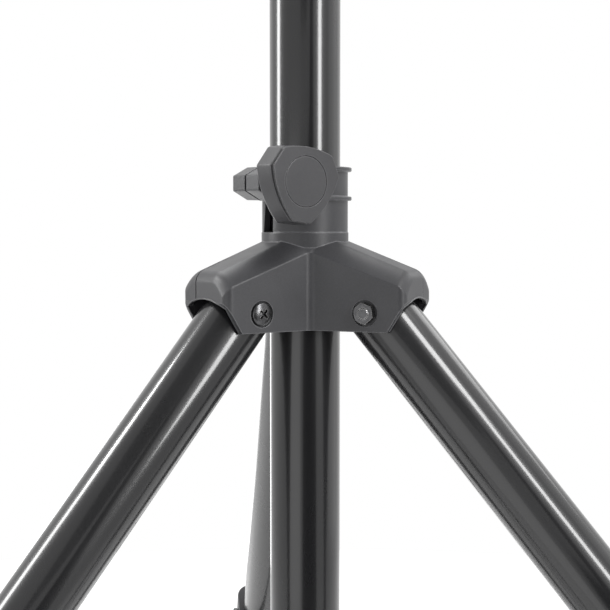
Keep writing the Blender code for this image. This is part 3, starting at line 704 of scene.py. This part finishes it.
def leg_housing():
    """Collar and three hollow arms in one, then the seams, screw seats, bore and clamp cuts."""
    base = arm_frame(0, PIVOT_Z)
    seat, clear, reach = ARM_HALF - SEAT_DEPTH, 5 * MM, 100 * MM
    collar_top = CLAMP_Z - PIVOT_Z + RIB_HALF
    core = placed(turned(collar_profile(ARM_BOTTOM - UNDERCUT / 2, RING_TOP, collar_top, RING_R)), base)
    steps = [("UNION", placed(arm_solid(), arm_frame(azimuth, PIVOT_Z))) for azimuth in LEG_AZIMUTHS]
    steps.append(("UNION", ear_block(CLAMP_Z)))
    for azimuth in LEG_AZIMUTHS:
        arm = arm_frame(azimuth, PIVOT_Z)
        cavity = carved(placed(arm_cavity(), arm),
                        [("DIFFERENCE", placed(rod(BOSS_R, -40 * MM, 60 * MM, ROUND), base))])
        seam = -1 if azimuth == LEG_AZIMUTHS[0] else 1
        steps += [("DIFFERENCE", cavity), ("DIFFERENCE", placed(mouth_cutter(), arm)),
                  ("DIFFERENCE", placed(slant_cutter(), arm)),
                  ("DIFFERENCE", placed(seam_cutter(seam), arm))]
        cross = side_frame(azimuth, PIVOT_R, PIVOT_Z)
        for hole in (cross_hole(PIVOT_BOLT_R), rod(SEAT_R, seat, seat + clear),
                     rod(SEAT_R, -seat - clear, -seat)):
            steps.append(("DIFFERENCE", placed(hole, cross)))
    steps.append(("DIFFERENCE", placed(rod(BORE_R, -40 * MM, 90 * MM, ROUND), base)))
    steps.append(("DIFFERENCE", placed(block((-reach, -reach, -reach), (reach, reach, ARM_BOTTOM)), base)))
    steps += clamp_cuts(CLAMP_Z, RING_TOP - (CLAMP_Z - PIVOT_Z))
    piece("hub_housing", carved(core, steps), HOUSING_LOOK, "hub", ["leg_housing"])
    for index, azimuth in enumerate(LEG_AZIMUTHS, 1):
        piece(f"mouth_lip_{index}", placed(mouth_bead(), arm_frame(azimuth, PIVOT_Z)), HOUSING_LOOK,
              "hub", [], sharp=60)


# ---- fasteners ----------------------------------------------------------------------------
def dome(shank_r, head_r, head_height, low, high):
    """Fastener along Z: shank from low to high, pan head with a soft dome above high."""
    crown = [(head_r * cos(a), high + 0.42 * head_height + 0.58 * head_height * sin(a))
             for a in [radians(90) * i / 8 for i in range(9)]]
    crown[-1] = (0.0, crown[-1][1])
    return turned([(0, low), (shank_r - 0.4 * MM, low), (shank_r, low + 0.4 * MM), (shank_r, high),
                   (head_r - 0.25 * MM, high), (head_r, high + 0.25 * MM)] + crown, SMALL)


def cross_recess(top):
    """Tapered cross, wider at the top."""
    rings = []
    for scale, z in ((0.55, top - 2.2 * MM), (1.0, top + 0.2 * MM), (1.0, top + MM)):
        half, width = 3.3 * MM * scale, 0.75 * MM * (0.4 + 0.6 * scale)
        plus = [(width, width), (width, half), (-width, half), (-width, width), (-half, width),
                (-half, -width), (-width, -width), (-width, -half), (width, -half),
                (width, -width), (half, -width), (half, width)]
        rings.append([(x, y, z) for x, y in plus])
    return loft(rings)


def cross_head(shank_r, head_r, head_height, low, high):
    return carved(dome(shank_r, head_r, head_height, low, high),
                  [("DIFFERENCE", cross_recess(high + head_height))])


def hex_nut(flats, bore, low, high):
    """Hexagon nut whose corners are chamfered on both faces."""
    corner = flats / sqrt(3)
    chamfer = (corner - flats / 2) * 0.55
    slack = 0.1 * MM
    envelope = [(0, low), (flats / 2 - slack, low), (corner + slack, low + chamfer),
                (corner + slack, high - chamfer), (flats / 2 - slack, high), (0, high)]
    return carved(slab(polygon(corner, 6), low, high),
                  [("INTERSECT", turned(envelope, SMALL)),
                   ("DIFFERENCE", rod(bore, low - MM, high + MM))])


# ---- clamp hardware -----------------------------------------------------------------------
def knob_outline():
    """Three-lobed outline: flat lobe tips with soft corners, joined by slightly convex sides."""
    points = []
    steps = 10
    for lobe in range(3):
        middle = KNOB_ROLL + lobe * radians(120)
        start, end = middle + KNOB_CORNER, middle + radians(120) - KNOB_CORNER
        first = Vector((cos(start), sin(start))) * KNOB_R
        last = Vector((cos(end), sin(end))) * KNOB_R
        outward = Vector((cos(middle + radians(60)), sin(middle + radians(60))))
        for i in range(steps + 1):
            t = i / steps
            point = first.lerp(last, t) + outward * KNOB_BULGE * 4 * t * (1 - t)
            points.append((point.x, point.y, 0.8 * MM if i in (0, steps) else 0.0))
    return filleted(points, 3)


def knob_solid():
    """Lobed body that widens to the back, a groove, and a chamfered face with a cap pocket."""
    outline = knob_outline()
    levels = ((KNOB_BACK, 0.9), (KNOB_BACK + 0.3 * MM, 0.2), (KNOB_BACK + 0.9 * MM, -0.35),
              (KNOB_BACK + 1.8 * MM, -0.6), (KNOB_FACE - 3.4 * MM, -0.1), (KNOB_FACE - 2.9 * MM, 0.1),
              (KNOB_FACE - 2.5 * MM, 1.1), (KNOB_FACE - 1.3 * MM, 1.3), (KNOB_FACE - 1.05 * MM, 0.45),
              (KNOB_FACE - 0.5 * MM, 0.2), (KNOB_FACE - 0.2 * MM, 0.35), (KNOB_FACE, 0.75))
    body = loft([[(x, y, z) for x, y in inset(outline, distance * MM)] for z, distance in levels])
    neck_end = EAR_OUT + GAP
    neck = filleted([(0, neck_end, 0), (KNOB_NECK_R, neck_end, 0.6 * MM),
                     (KNOB_NECK_R, KNOB_BACK - MM, 1.5 * MM), (KNOB_NECK_R + 3 * MM, KNOB_BACK - MM, 0),
                     (KNOB_NECK_R + 3 * MM, KNOB_BACK + MM, 0), (0, KNOB_BACK + MM, 0)])
    bore = rod(CLAMP_BOLT_R + GAP, 0, KNOB_FACE - 3 * MM)
    pocket = rod(KNOB_CAP_R + 0.3 * MM, KNOB_FACE - 1.6 * MM, KNOB_FACE + MM, ROUND)
    return carved(body, [("UNION", turned(neck, SMALL)), ("DIFFERENCE", bore), ("DIFFERENCE", pocket)])


def clamp_hardware(prefix, height, bolt_body, knob_body):
    """Bolt through the ears, knob, knob nut and face cap; Z runs out of the knob's face."""
    out = side_frame(CLAMP_AZIMUTH, CLAMP_R, height) @ FLIP
    piece(f"{prefix}_bolt_visual", dome(CLAMP_BOLT_R, 7 * MM, 3.6 * MM, -33 * MM, EAR_OUT + GAP),
          STEEL_LOOK, bolt_body, [f"{prefix}_clamp_bolt"], out @ FLIP)
    piece(f"{prefix}_knob_visual", knob_solid(), KNOB_LOOK, knob_body, [f"{prefix}_knob"], out)
    neck_end = EAR_OUT + GAP
    piece(f"{prefix}_nut_visual", hex_nut(12 * MM, CLAMP_BOLT_R + GAP, neck_end + GAP, neck_end + 6 * MM),
          STEEL_LOOK, knob_body, [f"{prefix}_knob_nut"], out)
    low = KNOB_FACE - 1.5 * MM
    cap = filleted([(0, low, 0), (KNOB_CAP_R, low, 0), (KNOB_CAP_R, KNOB_FACE, 0.25 * MM),
                    (0, KNOB_FACE, 0)])
    piece(f"{prefix}_cap_visual", turned(cap, ROUND), KNOB_LOOK, knob_body, [f"{prefix}_knob_cap"], out)


# ---- column and pole ----------------------------------------------------------------------
def tube_profile(outer, wall, low, high, rings=()):
    """Wall of a tube; the extra rings keep a cross hole from splitting its long faces."""
    soft, inner = 0.35 * MM, outer - wall
    return filleted([(outer, low, soft), *((outer, at, 0) for at in rings), (outer, high, soft),
                     (inner, high, soft), *((inner, at, 0) for at in rings[::-1]), (inner, low, soft)], 3)


def column():
    """Main tube, the plug in its lower end and both collars."""
    piece("column_tube", turned(tube_profile(TUBE_R, TUBE_WALL, TUBE_LOW.z, TUBE_TOP), 192),
          TUBE_LOOK, "column", ["main_tube"], AXIS)
    low = TUBE_LOW.z
    inner = TUBE_R - TUBE_WALL - GAP
    plug = filleted([(0, low - 4 * MM, 0), (TUBE_R, low - 4 * MM, 1.2 * MM), (TUBE_R, low - GAP, 0.2 * MM),
                     (inner, low - GAP, 0), (inner, low + 16 * MM, MM), (inner - 3 * MM, low + 16 * MM, MM),
                     (inner - 3 * MM, low, MM), (0, low, 0)])
    piece("column_plug", turned(plug, ROUND), BUSH_LOOK, "column", ["main_tube_plug"], AXIS)
    lower_collar()
    upper_collar()


def lower_collar():
    """Sleeve with three pairs of walls that straddle the folded legs, and its fixing screw."""
    base = arm_frame(0, COLLAR_Z)
    sleeve = filleted([(0, -LOWER_HALF - MM, 0), (LOWER_R, -LOWER_HALF - MM, 0.8 * MM),
                       (LOWER_R, LOWER_SLEEVE, MM), (0, LOWER_SLEEVE, 0)])
    root = LOWER_R - 2.5 * MM
    steps = []
    outline = filleted([(root - 8 * MM, -LOWER_HALF, 0), (LOWER_END, -LOWER_HALF, 8 * MM),
                        (LOWER_END, LOWER_HALF, 8 * MM), (root - 8 * MM, LOWER_HALF, 0)], 12)
    thick = ARM_HALF - SLOT_HALF
    for azimuth in LEG_AZIMUTHS:
        for side in (1, -1):
            low = min(side * SLOT_HALF, side * ARM_HALF)
            wall = slab(outline, low, low + thick, 0.6 * MM)
            steps.append(("UNION", placed(wall, side_frame(azimuth, 0, COLLAR_Z))))
        pivot = side_frame(azimuth, PIVOT_R, COLLAR_Z)
        steps.append(("DIFFERENCE", placed(cross_hole(PIN_R), pivot)))
    steps.append(("DIFFERENCE", placed(rod(BORE_R, -40 * MM, 40 * MM, ROUND), base)))
    screw = columns(UP, -radial(0), -tangent(0),
                    Vector((0, AXIS_Y, COLLAR_Z + 0.5 * (LOWER_HALF + LOWER_SLEEVE))))
    body = carved(placed(turned(sleeve), base), steps)
    piece("brace_collar", body, HOUSING_LOOK, "column", ["lower_collar"])
    piece("collar_screw", cross_head(2.0 * MM, 4 * MM, 2.4 * MM, 17 * MM, LOWER_R + GAP),
          STEEL_LOOK, "column", ["lower_collar_screw"], screw)


def upper_collar():
    """Collar on the main tube's top, split above it, with the bush that guides the pole."""
    base = arm_frame(0, TUBE_TOP)
    core = placed(turned(collar_profile(UPPER_LOW, UPPER_STEP, UPPER_TOP, UPPER_RING_R)), base)
    steps = [("UNION", ear_block(UPPER_CLAMP_Z)),
             ("DIFFERENCE", placed(rod(BORE_R, UPPER_LOW - MM, UPPER_TOP + MM, ROUND), base))]
    steps += clamp_cuts(UPPER_CLAMP_Z, TUBE_TOP + MM - UPPER_CLAMP_Z)
    piece("pole_clamp_collar", carved(core, steps), HOUSING_LOOK, "column", ["upper_collar"])
    inner, outer, flange = POLE_R + GAP + 0.05 * MM, BORE_R - GAP, 22.4 * MM
    lip = UPPER_TOP + 3.2 * MM
    bush = filleted([(outer, GAP, 0), (outer, UPPER_TOP + GAP, 0), (flange, UPPER_TOP + GAP, 0.3 * MM),
                     (flange, lip, 1.2 * MM), (inner, lip, 0.8 * MM), (inner, GAP, 0)])
    piece("pole_bush_visual", turned(bush), BUSH_LOOK, "column", ["pole_bush"], base)


def pole():
    """Telescoping pole with a plug in its lower end and a cap in its top."""
    piece("pole_tube", turned(tube_profile(POLE_R, POLE_WALL, POLE_LOW.z, POLE_HIGH.z), 192),
          TUBE_LOOK, "pole", ["pole"], AXIS)
    stem = POLE_R - POLE_WALL - GAP
    hollow, cover, depth = stem - 3 * MM, 5 * MM, 20 * MM
    for name, end, sign in (("pole_end_plug", POLE_LOW.z, -1), ("pole_top_cap", POLE_HIGH.z, 1)):
        outer, shoulder, inner = end + sign * cover, end + sign * GAP, end - sign * depth
        profile = filleted([(0, outer, 0), (POLE_R, outer, 1.5 * MM), (POLE_R, shoulder, 0.2 * MM),
                            (stem, shoulder, 0), (stem, inner, MM), (hollow, inner, MM),
                            (hollow, end, 0), (0, end, 0)])
        piece(f"{name}_visual", turned(profile), BUSH_LOOK, "pole", [name], AXIS)


# ---- legs ---------------------------------------------------------------------------------
def foot_solid(matrix):
    """Rubber foot: a sleeve with two grip grooves, a step and a sole cut level with the floor."""
    top = LEG_LENGTH - FOOT_LENGTH
    pocket = LEG_R + GAP + 0.1 * MM
    sleeve = FOOT_R - 0.6 * MM
    sole = FOOT_R - 0.3 * MM
    corners = [(pocket, top, 0.3 * MM), (sleeve, top, 1.4 * MM)]
    for groove in range(2):
        at = top + (9 + 5 * groove) * MM
        corners += [(sleeve, at, 0.4 * MM), (sleeve - 1.2 * MM, at + 0.4 * MM, 0.2 * MM),
                    (sleeve - 1.2 * MM, at + 1.2 * MM, 0.2 * MM), (sleeve, at + 1.6 * MM, 0.4 * MM)]
    shoulder, below = LEG_LENGTH - 22 * MM, LEG_LENGTH + 30 * MM
    corners += [(sleeve, shoulder - MM, 0.2 * MM), (sole, shoulder, 0.2 * MM), (sole, below, 0),
                (0, below, 0), (0, LEG_END + GAP, 0), (pocket, LEG_END + GAP, 0)]
    bm = placed(turned(filleted(corners), 96), matrix)
    cut = bmesh.ops.bisect_plane(bm, geom=bm.verts[:] + bm.edges[:] + bm.faces[:],
                                 plane_co=(0, 0, 0), plane_no=(0, 0, -1), clear_outer=True)
    rim = [item for item in cut["geom_cut"] if isinstance(item, bmesh.types.BMEdge)]
    bmesh.ops.holes_fill(bm, edges=rim, sides=0)
    return bm


def bracket_solid():
    """Rounded square clamp round the leg, with flats where the braces bear."""
    corner_steps = 23
    corners = ((1, 1), (-1, 1), (-1, -1), (1, -1))
    outer = filleted([(x * ARM_HALF, y * ARM_HALF, 9 * MM) for x, y in corners], corner_steps)
    inner = []
    for x, y in outer:
        angle = atan2(y, x)
        inner.append(((LEG_R + GAP) * cos(angle), (LEG_R + GAP) * sin(angle)))
    low, high, soft = LINK - 12 * MM, LINK + 12 * MM, 0.9 * MM
    rings = []
    for i in range(5):
        angle = radians(90) * i / 4
        shrink = soft * (1 - sin(angle))
        rings.append([(x, y, low + soft * (1 - cos(angle))) for x, y in inset(outer, shrink)])
    rings += [[(x, y, low + high - z) for x, y, z in ring] for ring in reversed(rings)]
    rings += [[(x, y, z) for x, y in inner] for z in (high - 0.3 * MM, low + 0.3 * MM)]
    return loft(rings, closed=True)


def shaft_solid():
    """Leg tube with the cross holes for its pivot screw and its knee bolt."""
    margin = 8 * MM
    rings = (margin, LINK - margin, LINK + margin)
    return carved(turned(tube_profile(LEG_R, LEG_WALL, -LEG_HEAD, LEG_END, rings), 128),
                  [("DIFFERENCE", placed(cross_hole(PIVOT_BOLT_R), across(0))),
                   ("DIFFERENCE", placed(cross_hole(BRACE_BOLT_R), across(LINK)))])


def plug_solid():
    """Plug in the leg tube's upper end, with a cap over the rim and the pivot screw's hole."""
    stem = LEG_R - LEG_WALL - GAP
    cap, depth = -LEG_HEAD - 2.2 * MM, 14 * MM
    plug = filleted([(0, cap, 0), (LEG_R, cap, 1.2 * MM), (LEG_R, -LEG_HEAD - GAP, 0.2 * MM),
                     (stem, -LEG_HEAD - GAP, 0), (stem, depth, MM), (0, depth, 0)])
    return carved(turned(plug, 96), [("DIFFERENCE", placed(cross_hole(PIVOT_BOLT_R), across(0)))])


def leg(index, azimuth):
    """Leg with its foot, bracket and knee bolt, and the pivot screw that rides on the hub."""
    matrix = leg_frame(azimuth)
    pivot_cross, brace_cross = matrix @ across(0), matrix @ across(LINK)
    body = f"leg_{index}"
    piece(f"leg_shaft_{index}", shaft_solid(), TUBE_LOOK, body, [f"leg_tube_{index}"], matrix)
    piece(f"leg_plug_{index}", plug_solid(), BUSH_LOOK, body, [f"leg_top_plug_{index}"], matrix)
    piece(f"foot_rubber_{index}", foot_solid(matrix), RUBBER_LOOK, body, [f"foot_{index}"])
    piece(f"leg_bracket_{index}", bracket_solid(), HOUSING_LOOK, body, [f"brace_bracket_{index}"], matrix)
    wall = ARM_HALF - SEAT_DEPTH + GAP
    piece(f"pivot_screw_{index}", cross_head(PIVOT_BOLT_R, 6 * MM, HEAD_HEIGHT, -wall - 4.5 * MM, wall),
          STEEL_LOOK, "hub", [f"leg_pivot_bolt_{index}"], pivot_cross)
    piece(f"pivot_nut_{index}", hex_nut(10 * MM, PIVOT_BOLT_R + 0.05 * MM, -wall - 4 * MM, -wall),
          STEEL_LOOK, "hub", [f"leg_pivot_nut_{index}"], pivot_cross)
    outer = BAR_IN + BAR_THICK + GAP
    piece(f"knee_bolt_{index}", dome(BRACE_BOLT_R, 5.6 * MM, HEAD_HEIGHT, -outer - 6.2 * MM, outer),
          STEEL_LOOK, body, [f"brace_bolt_{index}"], brace_cross)
    piece(f"knee_nut_{index}", hex_nut(10 * MM, BRACE_BOLT_R + 0.05 * MM, -outer - 5 * MM, -outer),
          STEEL_LOOK, body, [f"brace_nut_{index}"], brace_cross)


def brace(index, azimuth):
    """Two flat bars with rounded ends and edges, and the short pins at the lower collar."""
    matrix = side_frame(azimuth, PIVOT_R, COLLAR_Z) @ Matrix.Rotation(-LEG_ANGLE, 4, "Z")
    ends = arc((0, 0), BAR_HALF, pi, 2 * pi, 16) + arc((0, LINK), BAR_HALF, 0, pi, 16)
    body = f"brace_{index}"
    for letter, side in (("a", 1), ("b", -1)):
        low = min(side * BAR_IN, side * (BAR_IN + BAR_THICK))
        bar = carved(slab(ends, low, low + BAR_THICK, 0.6 * MM),
                     [("DIFFERENCE", cross_hole(PIN_R)),
                      ("DIFFERENCE", placed(cross_hole(BRACE_BOLT_R), Matrix.Translation((0, LINK, 0))))])
        piece(f"brace_bar_{letter}_{index}", bar, TUBE_LOOK, body, [f"brace_{letter}_{index}"], matrix)
        turn = matrix @ Matrix.Rotation(0 if side > 0 else pi, 4, "X")
        piece(f"brace_rivet_{letter}_{index}",
              dome(PIN_R, 5 * MM, 2.4 * MM, SLOT_HALF + 0.2 * MM, BAR_IN + BAR_THICK + GAP),
              STEEL_LOOK, body, [f"brace_pin_{letter}_{index}"], turn)


# ---- studio -------------------------------------------------------------------------------
CAMERA_AZIMUTH = radians(-6.35)
CAMERA_DISTANCE = 0.75
CAMERA_HEIGHT = 46.4 * MM        # above the leg pivots
CAMERA_PITCH = radians(-3.37)
CAMERA_LENS = 81.49
FLOOR_R = 1.7


def around(azimuth, distance, height):
    """Point at an azimuth from the tube axis; 0 is towards the viewer, positive to the right."""
    a = radians(azimuth)
    return Vector((sin(a) * distance, AXIS_Y - cos(a) * distance, height))


def softbox(name, azimuth, distance, low, high, width, radiance, tilted=False):
    """Area light between two heights that faces the tube axis, upright or tilted to the hub."""
    height = high - low
    light = bpy.data.lights.new(name, "AREA")
    light.shape = "RECTANGLE"
    light.size, light.size_y = width, height
    light.energy = radiance * pi * width * height
    obj = bpy.data.objects.new(name, light)
    bpy.context.scene.collection.objects.link(obj)
    place = around(azimuth, distance, (low + high) / 2)
    aim = Vector((0, AXIS_Y, PIVOT_Z if tilted else place.z)) - place
    obj.location = place
    obj.rotation_euler = aim.to_track_quat("-Z", "Y").to_euler()
    obj.visible_camera = False


def flag(name, distance, tone, rows):
    """Matt card that only reflections see, between two azimuths at each height of its rows."""
    bm = bmesh.new()
    pairs = [[bm.verts.new(around(azimuth, distance, height)) for azimuth in azimuths]
             for height, *azimuths in rows]
    for (a, b), (c, d) in zip(pairs, pairs[1:]):
        bm.faces.new((a, b, d, c))
    mesh = bpy.data.meshes.new(name)
    bm.to_mesh(mesh)
    bm.free()
    nodes = Nodes(name)
    nodes.set(Roughness=1.0, Specular_IOR_Level=0.0)
    nodes.shader.inputs["Base Color"].default_value = (tone, tone, tone, 1)
    mesh.materials.append(nodes.material)
    obj = bpy.data.objects.new(name, mesh)
    bpy.context.scene.collection.objects.link(obj)
    obj.visible_camera = obj.visible_diffuse = obj.visible_shadow = False


def backdrop():
    """Even white surroundings and a round pale floor."""
    scene = bpy.context.scene
    world = bpy.data.worlds.new("white_studio")
    world.use_nodes = True
    background = world.node_tree.nodes["Background"]
    background.inputs["Color"].default_value = (1, 1, 1, 1)
    background.inputs["Strength"].default_value = 1.0
    scene.world = world

    bm = bmesh.new()
    bmesh.ops.create_circle(bm, cap_ends=True, radius=FLOOR_R, segments=96)
    floor_mesh = bpy.data.meshes.new("floor")
    bm.to_mesh(floor_mesh)
    bm.free()
    floor_mesh.materials.append(pale_floor())
    floor = bpy.data.objects.new("floor", floor_mesh)
    floor.location.z = -0.5 * MM
    scene.collection.objects.link(floor)


def lights():
    """Strips that draw the tubes' long highlights, soft fills, and cards that darken their fronts."""
    softbox("key_strip", 42, 1.3, 0.62, 1.7, 0.26, 20)
    softbox("key_head", 42, 1.3, 1.7, 2.6, 0.5, 20)
    softbox("left_strip", -101, 1.3, 0.62, 1.85, 0.27, 19)
    softbox("left_head", -104, 1.3, 1.5, 1.9, 0.14, 42)
    softbox("left_fill", -40, 1.2, 0.05, 0.72, 0.8, 1.0)
    softbox("right_side", 94, 1.5, 0.1, 2.5, 1.0, 0.4)
    softbox("edge_light", 82, 0.8, 1.55, 2.1, 0.5, 2, tilted=True)
    softbox("top_back", -164, 1.0, 1.7, 2.7, 1.5, 4.7, tilted=True)
    softbox("low_back_left", -165, 1.3, 0.1, 0.5, 0.5, 2)
    softbox("right_back", 122, 1.3, 1.05, 1.65, 0.6, 2.5)
    flag("viewer_flag", 1.0, 0.02, ((0.0, -16, 32), (0.45, -13, 29), (0.62, -6, 22), (0.75, 8, 20),
                                    (1.15, 12, 17.5)))
    flag("grey_card", 0.9, 0.18, ((0.85, -20, -2), (1.08, -24, 16), (1.5, -40, 20), (2.0, -48, 20)))


def camera():
    camera_data = bpy.data.cameras.new("camera")
    camera_data.lens = CAMERA_LENS
    camera_data.clip_start = 0.01
    obj = bpy.data.objects.new("camera", camera_data)
    bpy.context.scene.collection.objects.link(obj)
    obj.location = (sin(CAMERA_AZIMUTH) * CAMERA_DISTANCE,
                    AXIS_Y - cos(CAMERA_AZIMUTH) * CAMERA_DISTANCE, PIVOT_Z + CAMERA_HEIGHT)
    obj.rotation_euler = (radians(90) + CAMERA_PITCH, 0, CAMERA_AZIMUTH)
    bpy.context.scene.camera = obj


def build():
    column()
    pole()
    leg_housing()
    clamp_hardware("hub", CLAMP_Z, "hub", "hub_knob")
    clamp_hardware("upper", UPPER_CLAMP_Z, "column", "upper_knob")
    for index, azimuth in enumerate(LEG_AZIMUTHS, 1):
        leg(index, azimuth)
        brace(index, azimuth)
    bpy.context.scene.view_settings.view_transform = "Standard"
    backdrop()
    lights()
    camera()


build()
